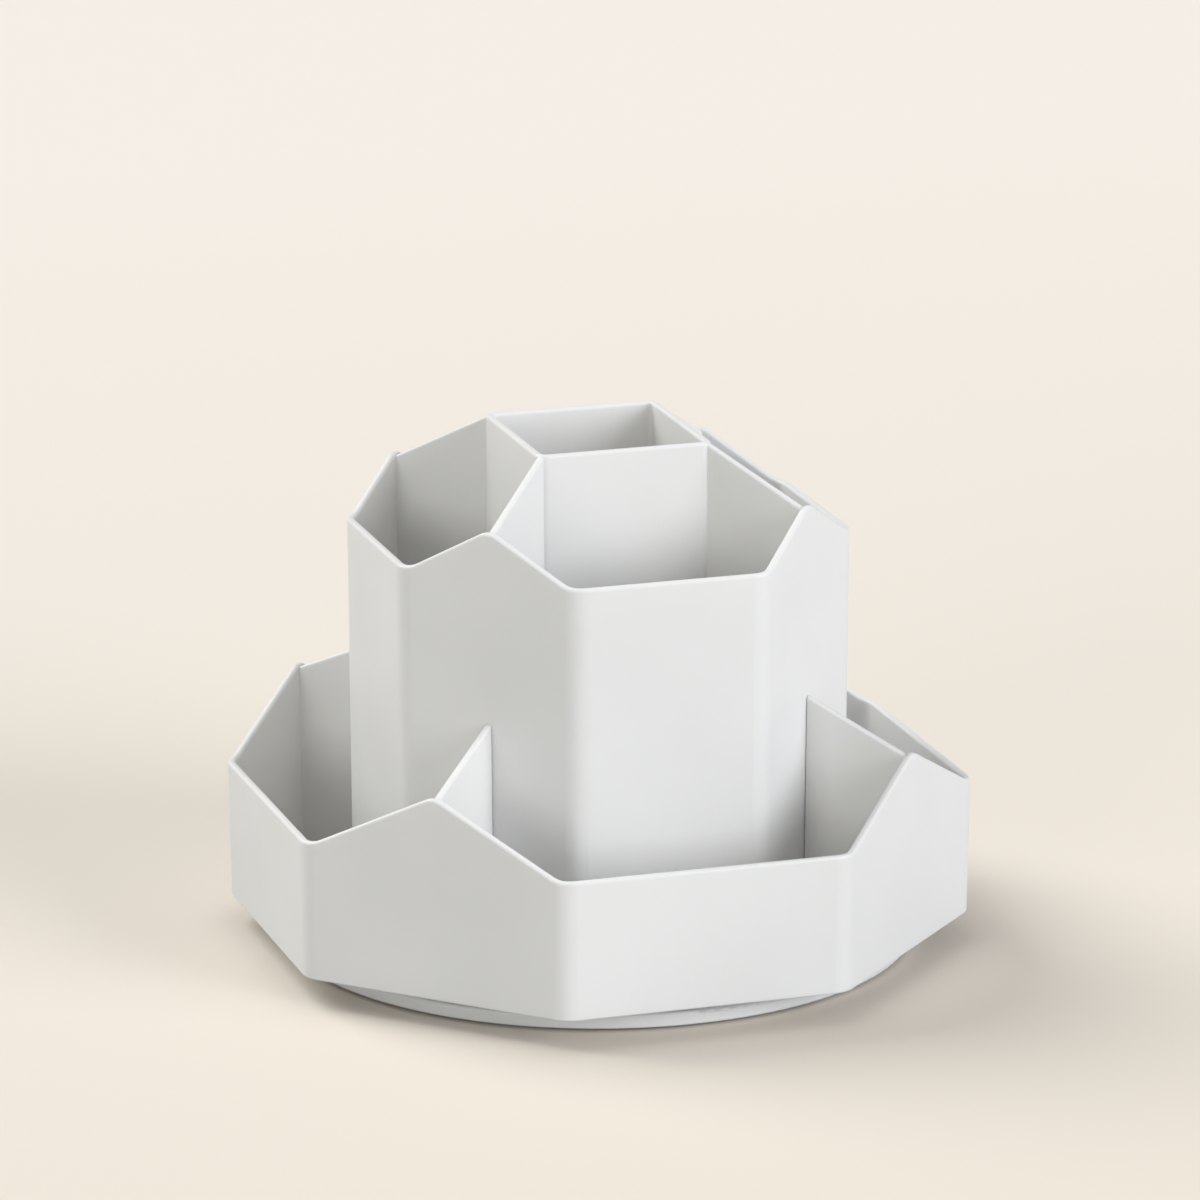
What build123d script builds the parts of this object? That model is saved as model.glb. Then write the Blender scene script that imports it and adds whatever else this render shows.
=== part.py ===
from build123d import *
import math
import os

os.makedirs("parts", exist_ok=True)

# Rotating desk organizer: an octagonal tray with a taller octagonal tower inside it, both turning
# on a round base. Millimetres. The origin is the middle of the footprint on the table, +Z is up,
# and a low face looks along -Y. Faces square to X and Y have level rims, those between them peaks.

# Base disc and its feet
base_radius = 79.2
base_height = 3.6
base_skin = 1.6
base_rim_wall = 2.0
base_top_edge_radius = 1.0
base_bottom_edge_radius = 0.5
base_rib_count = 12
base_rib_width = 1.2
base_rib_relief = 0.4
foot_count = 6
foot_inset = 13.2
foot_radius = 6.0
foot_thickness = 1.6
foot_proud = 0.8
foot_clearance = 0.15

# Ball race between the base and the turntable
race_radius = 44.0
race_land_width = 10.0
race_clearance = 0.1
ball_diameter = 4.0
ball_count = 16
plate_gap = 1.6
cage_width = 8.0
cage_clearance = 0.3
cage_ball_clearance = 0.2

# Pivot in the middle of the base
spigot_radius = 4.0
spigot_overrun = 0.2
bush_wall = 1.5
bush_running_clearance = 0.05
bush_seat_clearance = 0.05
bush_flange_width = 2.45
bush_flange_thickness = 0.8
bush_flange_gap = 0.3
hub_web_thickness = 1.7
hub_wall = 5.8
washer_overlap = 1.45
washer_thickness = 0.8
bolt_radius = 2.0
bolt_hole_clearance = 0.05
bolt_head_radius = 4.0
bolt_head_height = 1.2
bolt_head_clearance = 1.2
bolt_end_skin = 1.4
bolt_recess_width = 2.5
bolt_recess_depth = 0.7

# Turntable plate
turntable_margin = 8.0
turntable_thickness = 2.4
boss_radius = 6.0
boss_height = 4.0
boss_clearance = 0.2
boss_edge_chamfer = 0.5

# Tray
tray_across_flats = 173.0
tray_side_height = 35.0
tray_peak_rise = 16.4
tray_wall = 2.0
tray_floor = 2.0
tray_draft = 0.75
tray_corner_radius = 7.5
tray_bottom_edge_radius = 0.5
tray_skirt_drop = 1.2
tray_rib_count = 8
tray_rib_width = 1.5
tray_rib_relief = 0.3
plate_seat_wall = 1.5
plate_seat_clearance = 0.3
locating_rib_width = 1.5
locating_rib_height = 2.4
locating_rib_clearance = 0.25

# Tower and its centre cell
tower_across_flats = 116.3
tower_side_height = 95.5
tower_peak_rise = 11.8
tower_wall = 2.0
tower_floor = 2.0
tower_floor_lift = 3.0
tower_draft = 0.35
tower_corner_radius = 7.5
cell_side = 45.2
cell_wall = 2.0
cell_corner_radius = 3.0
cell_rise_over_tower = 24.1

# Rims, floors and dividers of both tiers
rim_edge_radius = 0.8
peak_radius = 5.0
slope_foot_radius = 9.0
slope_start_inset = 2.6
floor_radius = 1.5
divider_thickness = 1.8
divider_draft = 0.25
divider_edge_radius = 0.7
divider_end_gap = 0.2
tray_divider_rise = 10.4
tray_divider_dip = 1.0
tower_divider_dip = 1.2
cell_divider_drop = 0.4

# Countersunk self-tapping screws
screw_count = 4
screw_circle_radius = 30.0
screw_radius = 1.45
screw_head_radius = 2.75
screw_head_height = 1.6
screw_tip_length = 1.2
screw_recess_width = 0.9
screw_recess_depth = 0.8
screw_hole_clearance = 0.15
screw_pilot_clearance = 0.05
screw_end_gap = 1.2
screw_boss_radius = 3.5
screw_boss_gap = 0.2

# Levels over the table
base_bottom = foot_proud
base_top = base_bottom + base_height
skin_bottom = base_top - base_skin
plate_bottom = base_top + plate_gap
plate_top = plate_bottom + turntable_thickness
boss_top = plate_top + boss_height
tray_bottom = plate_top - tray_skirt_drop
tray_low_rim = tray_bottom + tray_side_height
tray_peak_rim = tray_low_rim + tray_peak_rise
tray_floor_top = plate_top + tray_floor
tower_floor_bottom = tray_floor_top + tower_floor_lift
tower_floor_top = tower_floor_bottom + tower_floor
tower_low_rim = tray_floor_top + tower_side_height
tower_peak_rim = tower_low_rim + tower_peak_rise
cell_rim = tower_low_rim + cell_rise_over_tower
ball_level = (base_top + plate_bottom) / 2
hub_top = plate_bottom - bush_flange_gap - bush_flange_thickness
web_bottom = hub_top - hub_web_thickness
spigot_end = web_bottom - spigot_overrun
washer_bottom = spigot_end - washer_thickness

# Sizes that follow from the ones above
tray_apothem = tray_across_flats / 2
tower_apothem = tower_across_flats / 2
turntable_radius = race_radius + turntable_margin
groove_radius = ball_diameter / 2 + race_clearance
bush_outer_radius = spigot_radius + bush_running_clearance + bush_wall
washer_radius = bush_outer_radius + washer_overlap
head_pocket_radius = washer_radius + bolt_head_clearance
hub_radius = head_pocket_radius + hub_wall
tray_screw_boss_height = tower_floor_lift - screw_boss_gap
plate_screw_length = turntable_thickness + tray_floor + tray_screw_boss_height - screw_end_gap
tower_screw_length = tray_floor + tower_floor_lift + tower_floor / 2
half_turn = math.tan(math.radians(22.5))
diagonal = 45


def drafted(apothem, rim, level, draft):
    """Apothem at a level, on a wall that has the given apothem at its rim."""
    return apothem + (level - rim) * math.tan(math.radians(draft))


def octagon(apothem, corner_radius):
    """Octagon with rounded corners, its flats square to X, Y and the diagonals."""
    with BuildSketch() as outline:
        RegularPolygon(apothem, 8, major_radius=False, rotation=22.5)
        fillet(outline.vertices(), corner_radius)
    return outline.sketch


def octagon_block(apothem, rim, draft, corner_radius, bottom, top, edge_radius=0):
    """Solid octagon between two levels, widening upwards, with its bottom edge rounded."""
    with BuildPart() as block:
        for level in (bottom, top):
            with BuildSketch(Plane.XY.offset(level)):
                add(octagon(drafted(apothem, rim, level, draft), corner_radius))
        loft(ruled=True)
        if edge_radius:
            fillet(block.faces().sort_by(Axis.Z)[0].edges(), edge_radius)
    return block.part


def face_plane(angle, distance):
    """Upright plane that faces outwards at an angle, with its own Y along the object's Z."""
    outward = Vector(1, 0, 0).rotate(Axis.Z, angle)
    along = Vector(0, 1, 0).rotate(Axis.Z, angle)
    return Plane(origin=outward * distance, x_dir=along, z_dir=outward)


def rim_limit(apothem, wall, low, rise, bottom):
    """Everything under the rim: level along four faces of an octagon, a peak over the others."""
    reach = apothem * half_turn
    slope_start = reach - slope_start_inset
    with BuildPart() as limit:
        with BuildSketch(Plane.XY.offset(bottom)):
            Circle(apothem + reach)
        extrude(amount=low - bottom)
        for angle in range(diagonal, 360, 90):
            with BuildSketch(face_plane(angle, apothem - 2 * wall)):
                with BuildLine():
                    rim = FilletPolyline(
                        (-reach, low),
                        (-slope_start, low),
                        (0, low + rise),
                        (slope_start, low),
                        (reach, low),
                        radius=[slope_foot_radius, peak_radius, slope_foot_radius],
                    )
                    Polyline(rim @ 1, (reach, low - wall), (-reach, low - wall), rim @ 0)
                make_face()
            extrude(amount=4 * wall)
    return limit.part


def rim_borders(tier, low, wall):
    """The two long borders of a rim: the edges that only one of its upward faces has."""
    lowest = low - wall
    rim = tier.faces().filter_by(lambda f: f.normal_at().Z > 0.5 and f.center().Z > lowest)
    edges = rim.edges()
    return edges.filter_by(lambda edge: sum(edge.is_same(other) for other in edges) == 1)


def line_height(x, start, start_height, end, end_height):
    """Height at x of the straight line through two points of a divider's top."""
    return start_height + (end_height - start_height) * (x - start) / (end - start)


def divider(inner, outer, bottom, inner_top, outer_top):
    """Upright divider along +X with drafted sides and a sloping, rounded top edge."""
    top = max(inner_top, outer_top)
    half_top = divider_thickness / 2
    half_bottom = half_top + (top - bottom) * math.tan(math.radians(divider_draft))
    with BuildPart() as blade:
        with BuildSketch(Plane.YZ.offset(inner)):
            with BuildLine():
                Polyline(
                    (-half_bottom, bottom),
                    (half_bottom, bottom),
                    (half_top, top),
                    (-half_top, top),
                    close=True,
                )
            make_face()
        extrude(amount=outer - inner)
        with BuildSketch(Plane.XZ):
            with BuildLine():
                Polyline(
                    (inner, inner_top),
                    (outer, outer_top),
                    (outer, top + divider_thickness),
                    (inner, top + divider_thickness),
                    close=True,
                )
            make_face()
        extrude(amount=2 * half_bottom, both=True, mode=Mode.SUBTRACT)
        long_edges = blade.faces().sort_by(Axis.Z)[-1].edges().sort_by(SortBy.LENGTH)[-2:]
        fillet(long_edges, min(divider_edge_radius, 0.4 * divider_thickness))
    return blade.part


def screw(length):
    """Countersunk self-tapping screw pointing up, its flat head on Z = 0."""
    with BuildPart() as body:
        with BuildSketch(Plane.XZ):
            with BuildLine():
                Polyline(
                    (0, 0),
                    (screw_head_radius, 0),
                    (screw_radius, screw_head_height),
                    (screw_radius, length - screw_tip_length),
                    (0, length),
                    close=True,
                )
            make_face()
        revolve(axis=Axis.Z)
        with BuildSketch(Plane.XY):
            for turn in (0, 90):
                Rectangle(screw_head_radius, screw_recess_width, rotation=turn)
        extrude(amount=screw_recess_depth, mode=Mode.SUBTRACT)
    return body.part


# Base disc: a shallow shell with a rim, a land under the ball race, a hub and ribs
rim_inner = base_radius - base_rim_wall
land_inner = race_radius - race_land_width / 2
land_outer = race_radius + race_land_width / 2
bush_bore_radius = bush_outer_radius + bush_seat_clearance
foot_circle_radius = base_radius - foot_inset
foot_pocket_radius = foot_radius + foot_clearance
rib_turn = 180 / base_rib_count

with BuildPart() as base_plate:
    with BuildSketch(Plane.XZ):
        with BuildLine():
            Polyline(
                (bush_bore_radius, web_bottom),
                (head_pocket_radius, web_bottom),
                (head_pocket_radius, base_bottom),
                (hub_radius, base_bottom),
                (hub_radius, skin_bottom),
                (land_inner, skin_bottom),
                (land_inner, base_bottom),
                (land_outer, base_bottom),
                (land_outer, skin_bottom),
                (rim_inner, skin_bottom),
                (rim_inner, base_bottom),
                (base_radius, base_bottom),
                (base_radius, base_top),
                (hub_radius, base_top),
                (hub_radius - (hub_top - base_top), hub_top),
                (bush_bore_radius, hub_top),
                close=True,
            )
        make_face()
    revolve(axis=Axis.Z)
    with BuildSketch(Plane.XY.offset(base_bottom + base_rib_relief)):
        with PolarLocations((hub_radius + rim_inner) / 2, base_rib_count, start_angle=rib_turn):
            Rectangle(rim_inner - hub_radius + base_rim_wall, base_rib_width)
    extrude(amount=skin_bottom - base_bottom - base_rib_relief)
    with BuildSketch(Plane.XY.offset(base_bottom)):
        with PolarLocations(foot_circle_radius, foot_count):
            Circle(foot_pocket_radius + base_rib_width)
    extrude(amount=skin_bottom - base_bottom)
    with BuildSketch(Plane.XY.offset(base_bottom)):
        with PolarLocations(foot_circle_radius, foot_count):
            Circle(foot_pocket_radius)
    extrude(amount=foot_thickness - foot_proud, mode=Mode.SUBTRACT)
    with BuildSketch(Plane.XZ):
        with Locations((race_radius, ball_level)):
            Circle(groove_radius)
    revolve(axis=Axis.Z, mode=Mode.SUBTRACT)
    round_edges = base_plate.edges().filter_by(GeomType.CIRCLE)
    outer_edges = round_edges.group_by(SortBy.RADIUS)[-1].sort_by(Axis.Z)
    fillet(outer_edges[-1], base_top_edge_radius)
    fillet(outer_edges[0], base_bottom_edge_radius)
base_plate.part.label = "base_plate"
export_step(base_plate.part, "parts/base_plate.step")

# Rubber feet, each seated in its own pocket under the base
for number in range(1, foot_count + 1):
    foot_angle = (number - 1) * 360 / foot_count
    with BuildPart() as foot:
        with BuildSketch(Plane.XY):
            with PolarLocations(foot_circle_radius, 1, start_angle=foot_angle):
                Circle(foot_radius)
        extrude(amount=foot_thickness)
        fillet(foot.faces().sort_by(Axis.Z)[0].edges(), foot_proud / 2)
    foot.part.label = f"rubber_foot_{number}"
    export_step(foot.part, f"parts/rubber_foot_{number}.step")

# Flanged bush in the base's hub, which the turntable's spigot turns in
with BuildPart() as pivot_bush:
    with BuildSketch(Plane.XY.offset(web_bottom)):
        Circle(bush_outer_radius)
    extrude(amount=hub_web_thickness)
    with BuildSketch(Plane.XY.offset(hub_top)):
        Circle(bush_outer_radius + bush_flange_width)
    extrude(amount=bush_flange_thickness)
    Hole(spigot_radius + bush_running_clearance)
pivot_bush.part.label = "pivot_bush"
export_step(pivot_bush.part, "parts/pivot_bush.step")

# Cage ring that keeps the balls apart
cage_thickness = plate_gap - 2 * cage_clearance

with BuildPart() as ball_cage:
    with BuildSketch(Plane.XY.offset(base_top + cage_clearance)):
        Circle(race_radius + cage_width / 2)
        Circle(race_radius - cage_width / 2, mode=Mode.SUBTRACT)
        with PolarLocations(race_radius, ball_count):
            Circle(ball_diameter / 2 + cage_ball_clearance, mode=Mode.SUBTRACT)
    extrude(amount=cage_thickness)
ball_cage.part.label = "ball_cage"
export_step(ball_cage.part, "parts/ball_cage.step")

# Steel balls
with BuildPart() as bearing_balls:
    with Locations((0, 0, ball_level)):
        with PolarLocations(race_radius, ball_count):
            Sphere(ball_diameter / 2)
bearing_balls.part.label = "bearing_balls"
export_step(bearing_balls.part, "parts/bearing_balls.step")

# Turntable plate under the tray, with the upper race, the pivot spigot and a locating boss
bolt_length = boss_top - bolt_end_skin - washer_bottom
bolt_hole_radius = bolt_radius + bolt_hole_clearance
screw_hole_radius = screw_radius + screw_hole_clearance
plate_underside = Plane(origin=(0, 0, plate_bottom), x_dir=(1, 0, 0), z_dir=(0, 0, -1))
tray_underside = Plane(origin=(0, 0, plate_top), x_dir=(1, 0, 0), z_dir=(0, 0, -1))
countersink_angle = 2 * math.degrees(math.atan((screw_head_radius - screw_radius) / screw_head_height))

with BuildPart() as turntable_plate:
    with BuildSketch(Plane.XY.offset(plate_bottom)):
        Circle(turntable_radius)
    extrude(amount=turntable_thickness)
    with BuildSketch(Plane.XY.offset(plate_top)):
        Circle(boss_radius)
    extrude(amount=boss_height)
    chamfer(turntable_plate.faces().sort_by(Axis.Z)[-1].edges(), boss_edge_chamfer)
    with BuildSketch(Plane.XY.offset(spigot_end)):
        Circle(spigot_radius)
    extrude(amount=plate_bottom - spigot_end)
    with BuildSketch(Plane.XY.offset(spigot_end)):
        Circle(bolt_hole_radius)
    extrude(amount=bolt_length - washer_thickness + bolt_hole_clearance, mode=Mode.SUBTRACT)
    with BuildSketch(Plane.XZ):
        with Locations((race_radius, ball_level)):
            Circle(groove_radius)
    revolve(axis=Axis.Z, mode=Mode.SUBTRACT)
    with Locations(plate_underside):
        with PolarLocations(screw_circle_radius, screw_count):
            CounterSinkHole(
                screw_hole_radius,
                screw_head_radius + screw_hole_clearance,
                depth=turntable_thickness,
                counter_sink_angle=countersink_angle,
            )
turntable_plate.part.label = "turntable_plate"
export_step(turntable_plate.part, "parts/turntable_plate.step")

# Washer and bolt that hold the turntable down on the base
with BuildPart() as pivot_washer:
    with BuildSketch(Plane.XY.offset(washer_bottom)):
        Circle(washer_radius)
        Circle(bolt_hole_radius, mode=Mode.SUBTRACT)
    extrude(amount=washer_thickness)
pivot_washer.part.label = "pivot_washer"
export_step(pivot_washer.part, "parts/pivot_washer.step")

with BuildPart() as pivot_bolt:
    with BuildSketch(Plane.XY.offset(washer_bottom - bolt_head_height)):
        Circle(bolt_head_radius)
    extrude(amount=bolt_head_height)
    fillet(pivot_bolt.faces().sort_by(Axis.Z)[0].edges(), bolt_head_height / 3)
    with BuildSketch(Plane.XY.offset(washer_bottom - bolt_head_height)):
        RegularPolygon(bolt_recess_width / 2, 6, major_radius=False)
    extrude(amount=bolt_recess_depth, mode=Mode.SUBTRACT)
    with BuildSketch(Plane.XY.offset(washer_bottom)):
        Circle(bolt_radius)
    extrude(amount=bolt_length)
    chamfer(pivot_bolt.faces().sort_by(Axis.Z)[-1].edges(), bolt_radius / 5)
pivot_bolt.part.label = "pivot_bolt"
export_step(pivot_bolt.part, "parts/pivot_bolt.step")

# Dividers of the tray, which run from the tower down to the tray's peaks
tray_divider_top = tray_peak_rim + tray_divider_rise
tray_divider_low = tray_peak_rim - tray_divider_dip
tray_wall_inside = tray_apothem - tray_wall
tower_outside = drafted(tower_apothem, tower_low_rim, tray_divider_top, tower_draft)
divider_start = tower_outside + divider_end_gap
divider_slope = (divider_start, tray_divider_top, tray_wall_inside, tray_divider_low)
divider_inner = divider_start - tower_wall
divider_outer = tray_apothem - tray_wall / 2
tray_divider = divider(
    divider_inner,
    divider_outer,
    tray_floor_top - tray_floor / 2,
    line_height(divider_inner, *divider_slope),
    line_height(divider_outer, *divider_slope),
)

# Outer tray: walls with a rim of four peaks, a floor, dividers, and its seats for plate and tower
plate_seat_radius = turntable_radius + plate_seat_clearance
tray_inner_radius = tray_corner_radius - tray_wall
tray_top = tray_peak_rim + tray_wall
tray_rib_inner = plate_seat_radius + plate_seat_wall / 2
tray_rib_outer = tray_apothem - tray_wall
locating_corner_radius = tower_corner_radius - tower_wall
tower_foot_inside = drafted(tower_apothem, tower_low_rim, tray_floor_top, tower_draft) - tower_wall
locating_outer = tower_foot_inside - locating_rib_clearance

with BuildPart() as outer_tray:
    add(
        octagon_block(
            tray_apothem,
            tray_low_rim,
            tray_draft,
            tray_corner_radius,
            tray_bottom,
            tray_top,
            min(tray_bottom_edge_radius, 0.6 * tray_wall),
        )
    )
    add(
        octagon_block(
            tray_wall_inside,
            tray_low_rim,
            tray_draft,
            tray_inner_radius,
            tray_floor_top,
            tray_top,
            floor_radius,
        ),
        mode=Mode.SUBTRACT,
    )
    add(
        octagon_block(
            tray_wall_inside, tray_low_rim, tray_draft, tray_inner_radius, tray_bottom, plate_top
        ),
        mode=Mode.SUBTRACT,
    )
    add(
        rim_limit(tray_apothem, tray_wall, tray_low_rim, tray_peak_rise, tray_bottom),
        mode=Mode.INTERSECT,
    )
    fillet(
        rim_borders(outer_tray, tray_low_rim, tray_wall), min(rim_edge_radius, 0.4 * tray_wall)
    )
    with PolarLocations(0, 4, start_angle=diagonal):
        add(tray_divider)
    add(
        octagon_block(
            tower_apothem + divider_end_gap,
            tower_low_rim,
            tower_draft,
            tower_corner_radius + divider_end_gap,
            tray_floor_top,
            tray_divider_top + tray_divider_rise,
        ),
        mode=Mode.SUBTRACT,
    )
    with BuildSketch(Plane.XY.offset(tray_floor_top)):
        add(octagon(locating_outer, locating_corner_radius))
        add(
            octagon(locating_outer - locating_rib_width, locating_corner_radius - locating_rib_width),
            mode=Mode.SUBTRACT,
        )
    extrude(amount=locating_rib_height)
    with BuildSketch(Plane.XY.offset(tray_bottom + tray_rib_relief)):
        Circle(plate_seat_radius + plate_seat_wall)
        with PolarLocations((tray_rib_inner + tray_rib_outer) / 2, tray_rib_count):
            Rectangle(tray_rib_outer - tray_rib_inner, tray_rib_width)
        Circle(plate_seat_radius, mode=Mode.SUBTRACT)
    extrude(amount=tray_skirt_drop - tray_rib_relief)
    with BuildSketch(Plane.XY.offset(tray_floor_top)):
        with PolarLocations(screw_circle_radius, screw_count):
            Circle(screw_boss_radius)
    extrude(amount=tray_screw_boss_height)
    with BuildSketch(Plane.XY.offset(plate_top)):
        with PolarLocations(screw_circle_radius, screw_count):
            Circle(screw_radius + screw_pilot_clearance)
        Circle(boss_radius + boss_clearance)
    extrude(amount=tray_floor + tray_screw_boss_height, mode=Mode.SUBTRACT)
    with Locations(tray_underside):
        with PolarLocations(screw_circle_radius, screw_count, start_angle=diagonal):
            CounterSinkHole(
                screw_hole_radius,
                screw_head_radius + screw_hole_clearance,
                depth=tray_floor,
                counter_sink_angle=countersink_angle,
            )
outer_tray.part.label = "outer_tray"
export_step(outer_tray.part, "parts/outer_tray.step")

# Square centre cell with a level, rounded rim
with BuildPart() as cell:
    with BuildSketch(Plane.XY.offset(tower_floor_bottom)):
        RectangleRounded(cell_side, cell_side, cell_corner_radius)
        RectangleRounded(
            cell_side - 2 * cell_wall,
            cell_side - 2 * cell_wall,
            max(cell_corner_radius - cell_wall, cell_wall / 4),
            mode=Mode.SUBTRACT,
        )
    extrude(amount=cell_rim - tower_floor_bottom)
    fillet(cell.faces().sort_by(Axis.Z)[-1].edges(), min(rim_edge_radius, 0.4 * cell_wall))

# Dividers of the tower, from the cell's corners down to the tower's peaks
cell_corner = cell_side / math.sqrt(2) - cell_corner_radius * (math.sqrt(2) - 1)
tower_wall_inside = tower_apothem - tower_wall
cell_divider_top = cell_rim - cell_divider_drop
tower_divider_low = tower_peak_rim - tower_divider_dip
spoke_slope = (cell_corner, cell_divider_top, tower_wall_inside, tower_divider_low)
spoke_inner = cell_corner - cell_wall / 2
spoke_outer = tower_apothem - tower_wall / 2
tower_divider = divider(
    spoke_inner,
    spoke_outer,
    tower_floor_top - tower_floor / 2,
    line_height(spoke_inner, *spoke_slope),
    line_height(spoke_outer, *spoke_slope),
)

# Pen tower: walls with a rim of four peaks, a raised floor, the cell, dividers and screw bosses
tower_inner_radius = tower_corner_radius - tower_wall
tower_top = tower_peak_rim + tower_wall

with BuildPart() as pen_tower:
    add(
        octagon_block(
            tower_apothem, tower_low_rim, tower_draft, tower_corner_radius, tray_floor_top, tower_top
        )
    )
    add(
        octagon_block(
            tower_wall_inside,
            tower_low_rim,
            tower_draft,
            tower_inner_radius,
            tower_floor_top,
            tower_top,
            floor_radius,
        ),
        mode=Mode.SUBTRACT,
    )
    add(
        octagon_block(
            tower_wall_inside,
            tower_low_rim,
            tower_draft,
            tower_inner_radius,
            tray_floor_top,
            tower_floor_bottom,
        ),
        mode=Mode.SUBTRACT,
    )
    add(
        rim_limit(tower_apothem, tower_wall, tower_low_rim, tower_peak_rise, tray_floor_top),
        mode=Mode.INTERSECT,
    )
    fillet(
        rim_borders(pen_tower, tower_low_rim, tower_wall), min(rim_edge_radius, 0.4 * tower_wall)
    )
    add(cell.part)
    with PolarLocations(0, 4, start_angle=diagonal):
        add(tower_divider)
    with BuildSketch(Plane.XY.offset(tray_floor_top)):
        with PolarLocations(screw_circle_radius, screw_count, start_angle=diagonal):
            Circle(screw_boss_radius)
    extrude(amount=tower_floor_lift)
    with BuildSketch(Plane.XY.offset(tray_floor_top)):
        with PolarLocations(screw_circle_radius, screw_count, start_angle=diagonal):
            Circle(screw_radius + screw_pilot_clearance)
    extrude(amount=tower_screw_length - tray_floor + screw_pilot_clearance, mode=Mode.SUBTRACT)
pen_tower.part.label = "pen_tower"
export_step(pen_tower.part, "parts/pen_tower.step")

# Screws that hold the turntable plate to the tray, and the tray to the tower
with BuildPart() as plate_screws:
    with Locations((0, 0, plate_bottom)):
        with PolarLocations(screw_circle_radius, screw_count):
            add(screw(plate_screw_length))
plate_screws.part.label = "plate_screws"
export_step(plate_screws.part, "parts/plate_screws.step")

with BuildPart() as tower_screws:
    with Locations((0, 0, plate_top)):
        with PolarLocations(screw_circle_radius, screw_count, start_angle=diagonal):
            add(screw(tower_screw_length))
tower_screws.part.label = "tower_screws"
export_step(tower_screws.part, "parts/tower_screws.step")
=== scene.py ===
import math

import bpy
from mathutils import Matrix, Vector

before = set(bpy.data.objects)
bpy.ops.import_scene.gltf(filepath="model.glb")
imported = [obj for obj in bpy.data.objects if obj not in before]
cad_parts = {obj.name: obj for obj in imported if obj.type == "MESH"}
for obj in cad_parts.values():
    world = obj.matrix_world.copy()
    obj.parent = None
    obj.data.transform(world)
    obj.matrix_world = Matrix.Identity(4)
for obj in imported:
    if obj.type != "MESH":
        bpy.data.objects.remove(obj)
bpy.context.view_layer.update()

# Lengths are in metres, angles in degrees and colours in linear red, green, blue.

# Camera: the photograph's viewpoint, worked out from the organizer's corners; lens and sensor in mm
CAMERA_AZIMUTH = -17.886
CAMERA_ELEVATION = 15.787
CAMERA_DISTANCE = 1.7808
CAMERA_TARGET = Vector((0.0006, 0.0, 0.08577))
CAMERA_LENS = 215.3
CAMERA_SENSOR = 36.0
CAMERA_CLIP_END = 50.0

# Light: a soft room, a broad low key from the front right, a low fill from the left, a high lamp behind
ROOM_STRENGTH = 0.36
ROOM_COLOUR = (0.985, 1.0, 1.035)
LAMP_DISTANCE = 2.0
LAMPS = {
    "key": {"azimuth": 40.0, "elevation": 16.0, "strength": 2.1, "width": 40.0, "colour": (0.985, 1.0, 1.045)},
    "left": {"azimuth": -50.0, "elevation": 10.0, "strength": 0.68, "width": 30.0, "colour": (1.0, 1.0, 0.92)},
    "rear": {"azimuth": -140.0, "elevation": 45.0, "strength": 1.88, "width": 40.0, "colour": (1.0, 1.0, 0.975)},
}

# Floor: the photograph's cream, painted darker near and paler far as a painted gradient of light, and the greyer
# colour of the light that it throws back
FLOOR_RADIUS = 12.0
FLOOR_SIDES = 96
FLOOR_NEAR = (0.863, 0.786, 0.680)
FLOOR_NEAR_Y = -0.35
FLOOR_FAR = (0.917, 0.856, 0.787)
FLOOR_FAR_Y = 0.9
FLOOR_BOUNCE = (0.46, 0.455, 0.45)
FLOOR_ROUGHNESS = 0.9
FLOOR_SPECULAR = 0.1

# The organizer's colours
WHITE_PLASTIC = (0.81, 0.806, 0.792)
WHITE_PLASTIC_DEEP = (0.78, 0.776, 0.762)
# The rims' paler colour is a painted highlight for the light that the rims catch from above
WHITE_PLASTIC_RIM_HIGHLIGHT = (0.858, 0.856, 0.844)
ACETAL = (0.62, 0.60, 0.53)
ACETAL_DEEP = (0.55, 0.53, 0.46)
ZINC = (0.60, 0.61, 0.63)
ZINC_DULL = (0.48, 0.49, 0.51)
STEEL = (0.66, 0.66, 0.67)
STEEL_DULL = (0.55, 0.55, 0.57)
FOOT_RUBBER = (0.020, 0.020, 0.021)
FOOT_RUBBER_DUSTY = (0.040, 0.039, 0.037)

# Plastic: index of refraction, and how far light spreads below its skin
PLASTIC_IOR = 1.5
SCATTER_WEIGHT = 0.2
SCATTER_RADIUS = (0.004, 0.0035, 0.003)
SCATTER_SCALE = 1.0

# Painted rim highlight: the spans of the normal's upward part and of the height over which the painted highlight
# sets in
RIM_HIGHLIGHT_UPWARD = (0.25, 0.75)
RIM_HIGHLIGHT_HEIGHT = (0.028, 0.032)

# Roughness: the span of the noise over which it runs from one value to the other
GLOSS_NOISE = (0.3, 0.7)


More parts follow.
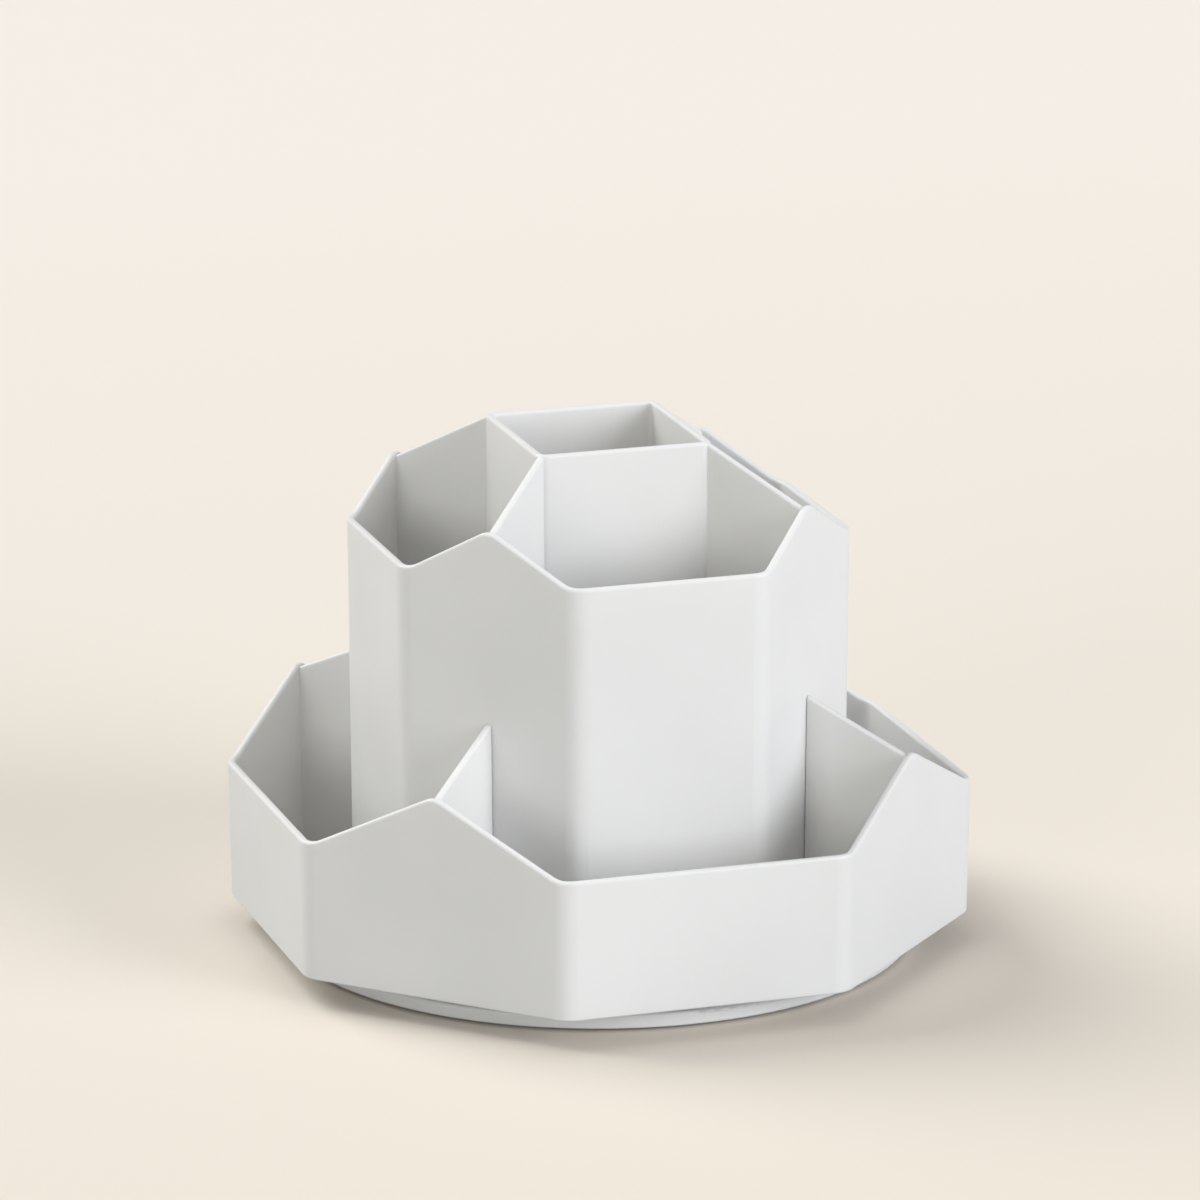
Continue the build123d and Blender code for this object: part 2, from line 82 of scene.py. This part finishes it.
class Shader:
    """A node material under construction, with a Principled BSDF as its end."""

    def __init__(self, name):
        self.material = bpy.data.materials.new(name)
        self.material.use_nodes = True
        self.tree = self.material.node_tree
        self.bsdf = self.tree.nodes["Principled BSDF"]
        coordinates = self.tree.nodes.new("ShaderNodeTexCoord").outputs
        self.place = coordinates["Object"]
        self.facing = coordinates["Normal"]

    def link(self, output, socket):
        self.tree.links.new(output, socket)

    def vary(self, socket, output):
        """Let a socket of the surface follow a map."""
        self.link(output, self.bsdf.inputs[socket])

    def fix(self, socket, value):
        """Set a socket of the surface that is the same all over."""
        self.bsdf.inputs[socket].default_value = value

    def noise(self, scale, detail=3.0, place=None):
        node = self.tree.nodes.new("ShaderNodeTexNoise")
        node.inputs["Scale"].default_value = scale
        node.inputs["Detail"].default_value = detail
        self.link(place or self.place, node.inputs["Vector"])
        return node.outputs["Fac"]

    def stretched(self, scale):
        node = self.tree.nodes.new("ShaderNodeMapping")
        node.inputs["Scale"].default_value = scale
        self.link(self.place, node.inputs["Vector"])
        return node.outputs["Vector"]

    def part_of(self, vector, axis):
        node = self.tree.nodes.new("ShaderNodeSeparateXYZ")
        self.link(vector, node.inputs["Vector"])
        return node.outputs[axis]

    def spread(self, value, start, end, to_start=0.0, to_end=1.0):
        """Map the span from start to end to another one, level beyond both ends."""
        node = self.tree.nodes.new("ShaderNodeMapRange")
        node.inputs["From Min"].default_value = start
        node.inputs["From Max"].default_value = end
        node.inputs["To Min"].default_value = to_start
        node.inputs["To Max"].default_value = to_end
        self.link(value, node.inputs["Value"])
        return node.outputs["Result"]

    def combine(self, operation, first, second):
        node = self.tree.nodes.new("ShaderNodeMath")
        node.operation = operation
        self.link(first, node.inputs[0])
        self.link(second, node.inputs[1])
        return node.outputs["Value"]

    def blend(self, share, first, second):
        node = self.tree.nodes.new("ShaderNodeMixRGB")
        self.link(share, node.inputs["Fac"])
        for colour, socket in ((first, node.inputs["Color1"]), (second, node.inputs["Color2"])):
            if isinstance(colour, tuple):
                socket.default_value = (*colour, 1.0)
            else:
                self.link(colour, socket)
        return node.outputs["Color"]

    def mottle(self, colour, other, scale, detail=3.0, start=0.35, end=0.65):
        """A colour that turns to the other one in soft patches, where the noise runs from start to end."""
        return self.blend(self.spread(self.noise(scale, detail), start, end), colour, other)

    def gloss(self, roughness, scale, detail=3.0):
        """Let the roughness wander between its two values."""
        self.vary("Roughness", self.spread(self.noise(scale, detail), *GLOSS_NOISE, *roughness))

    def painted_rim_highlight(self):
        """Mask of the painted rim highlight: 1 on the rims, which look up and lie above the compartments'
        floors, 0 elsewhere.
        """
        upward = self.spread(self.part_of(self.facing, "Z"), *RIM_HIGHLIGHT_UPWARD)
        above = self.spread(self.part_of(self.place, "Z"), *RIM_HIGHLIGHT_HEIGHT)
        return self.combine("MULTIPLY", upward, above)

    def bump(self, height, strength, distance, under=None):
        node = self.tree.nodes.new("ShaderNodeBump")
        node.inputs["Strength"].default_value = strength
        node.inputs["Distance"].default_value = distance
        self.link(height, node.inputs["Height"])
        if under:
            self.link(under, node.inputs["Normal"])
        return node.outputs["Normal"]


def moulded_plastic(name, colour, deep, roughness, grain, rim_highlight=None):
    """Moulded plastic: slow colour and gloss changes, a fine spark-eroded grain, faint sinks, and rims painted
    paler as a painted highlight.
    """
    s = Shader(name)
    body = s.mottle(colour, deep, scale=22.0)
    # Rims painted paler here: a painted highlight
    s.vary("Base Color", s.blend(s.painted_rim_highlight(), body, rim_highlight) if rim_highlight else body)
    s.gloss(roughness, scale=60.0, detail=4.0)
    sinks = s.bump(s.noise(scale=35.0, detail=1.0), strength=0.25, distance=0.00025)
    s.vary("Normal", s.bump(s.noise(scale=5200.0, detail=2.0), strength=grain, distance=0.00003, under=sinks))
    s.fix("IOR", PLASTIC_IOR)
    s.fix("Subsurface Weight", SCATTER_WEIGHT)
    s.fix("Subsurface Radius", SCATTER_RADIUS)
    s.fix("Subsurface Scale", SCATTER_SCALE)
    return s.material


def metal(name, colour, dull, roughness, lay):
    """Bright metal with a faint lay of fine marks and duller patches."""
    s = Shader(name)
    s.vary("Base Color", s.mottle(colour, dull, scale=900.0, detail=4.0, end=0.7))
    s.gloss(roughness, scale=1500.0)
    marks = s.noise(scale=1800.0, detail=2.0, place=s.stretched(lay))
    s.vary("Normal", s.bump(marks, strength=0.15, distance=0.00002))
    s.fix("Metallic", 1.0)
    return s.material


def rubber(name, colour, dusty, roughness):
    """Matt rubber with a grainy skin and a little dust."""
    s = Shader(name)
    s.vary("Base Color", s.mottle(colour, dusty, scale=700.0, detail=5.0, start=0.45, end=0.75))
    s.gloss(roughness, scale=400.0)
    s.vary("Normal", s.bump(s.noise(scale=2600.0, detail=4.0), strength=0.5, distance=0.00006))
    return s.material


def floor_paint(name):
    """The photograph's cream to the eye, with a painted gradient of light from darker near to paler far, and
    greyer for the light that the floor throws back.
    """
    s = Shader(name)
    # Cream painted darker near and paler far: a painted gradient of light across the floor
    cream = s.blend(s.spread(s.part_of(s.place, "Y"), FLOOR_NEAR_Y, FLOOR_FAR_Y), FLOOR_NEAR, FLOOR_FAR)
    rays = s.tree.nodes.new("ShaderNodeLightPath").outputs
    shows = s.combine("MAXIMUM", rays["Is Camera Ray"], rays["Is Glossy Ray"])
    shows = s.combine("MAXIMUM", shows, rays["Is Transmission Ray"])
    s.vary("Base Color", s.blend(shows, FLOOR_BOUNCE, cream))
    s.fix("Roughness", FLOOR_ROUGHNESS)
    s.fix("Specular IOR Level", FLOOR_SPECULAR)
    return s.material


def dress(nodes, material):
    for node in nodes:
        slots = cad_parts[node].data.materials
        slots.clear()
        slots.append(material)


def aim(obj, target):
    obj.rotation_euler = (target - obj.location).to_track_quat("-Z", "Y").to_euler()


def direction(azimuth, elevation):
    """Unit vector from the object: azimuth 0 is the front, 90 the right-hand side."""
    a = math.radians(azimuth)
    e = math.radians(elevation)
    return Vector((math.sin(a) * math.cos(e), -math.cos(a) * math.cos(e), math.sin(e)))


def soft_light(name, azimuth, elevation, strength, width, colour):
    """A far, wide softbox: a sun lamp with a broad disc, level over the whole floor."""
    data = bpy.data.lights.new(name, "SUN")
    data.energy = strength
    data.angle = math.radians(width)
    data.color = colour
    light = bpy.data.objects.new(name, data)
    bpy.context.collection.objects.link(light)
    light.location = LAMP_DISTANCE * direction(azimuth, elevation)
    aim(light, Vector((0.0, 0.0, 0.0)))


# Materials
white_plastic = moulded_plastic(
    "white_plastic", WHITE_PLASTIC, WHITE_PLASTIC_DEEP, roughness=(0.36, 0.46), grain=0.25, rim_highlight=WHITE_PLASTIC_RIM_HIGHLIGHT
)
acetal = moulded_plastic("acetal", ACETAL, ACETAL_DEEP, roughness=(0.30, 0.40), grain=0.10)
zinc = metal("zinc", ZINC, ZINC_DULL, roughness=(0.28, 0.45), lay=(1.0, 1.0, 0.2))
steel = metal("steel", STEEL, STEEL_DULL, roughness=(0.06, 0.14), lay=(1.0, 1.0, 1.0))
foot_rubber = rubber("foot_rubber", FOOT_RUBBER, FOOT_RUBBER_DUSTY, roughness=(0.62, 0.85))

dress(["outer_tray", "pen_tower", "base_plate", "turntable_plate"], white_plastic)
dress(["pivot_bush", "ball_cage"], acetal)
dress(["pivot_washer", "pivot_bolt", "plate_screws", "tower_screws"], zinc)
dress(["bearing_balls"], steel)
dress([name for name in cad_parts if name.startswith("rubber_foot")], foot_rubber)

# Floor
bpy.ops.mesh.primitive_circle_add(vertices=FLOOR_SIDES, radius=FLOOR_RADIUS, fill_type="NGON")
floor = bpy.context.object
floor.name = "floor"
floor.data.materials.append(floor_paint("floor"))

# Light
world = bpy.data.worlds.new("room")
world.use_nodes = True
room = world.node_tree.nodes["Background"]
room.inputs["Color"].default_value = (*ROOM_COLOUR, 1.0)
room.inputs["Strength"].default_value = ROOM_STRENGTH
bpy.context.scene.world = world

for name, lamp in LAMPS.items():
    soft_light(name, **lamp)

# Camera
camera_data = bpy.data.cameras.new("camera")
camera_data.lens = CAMERA_LENS
camera_data.sensor_width = CAMERA_SENSOR
camera_data.clip_end = CAMERA_CLIP_END
camera = bpy.data.objects.new("camera", camera_data)
bpy.context.collection.objects.link(camera)
camera.location = CAMERA_TARGET + CAMERA_DISTANCE * direction(CAMERA_AZIMUTH, CAMERA_ELEVATION)
aim(camera, CAMERA_TARGET)
bpy.context.scene.camera = camera

bpy.context.scene.view_settings.view_transform = "Standard"
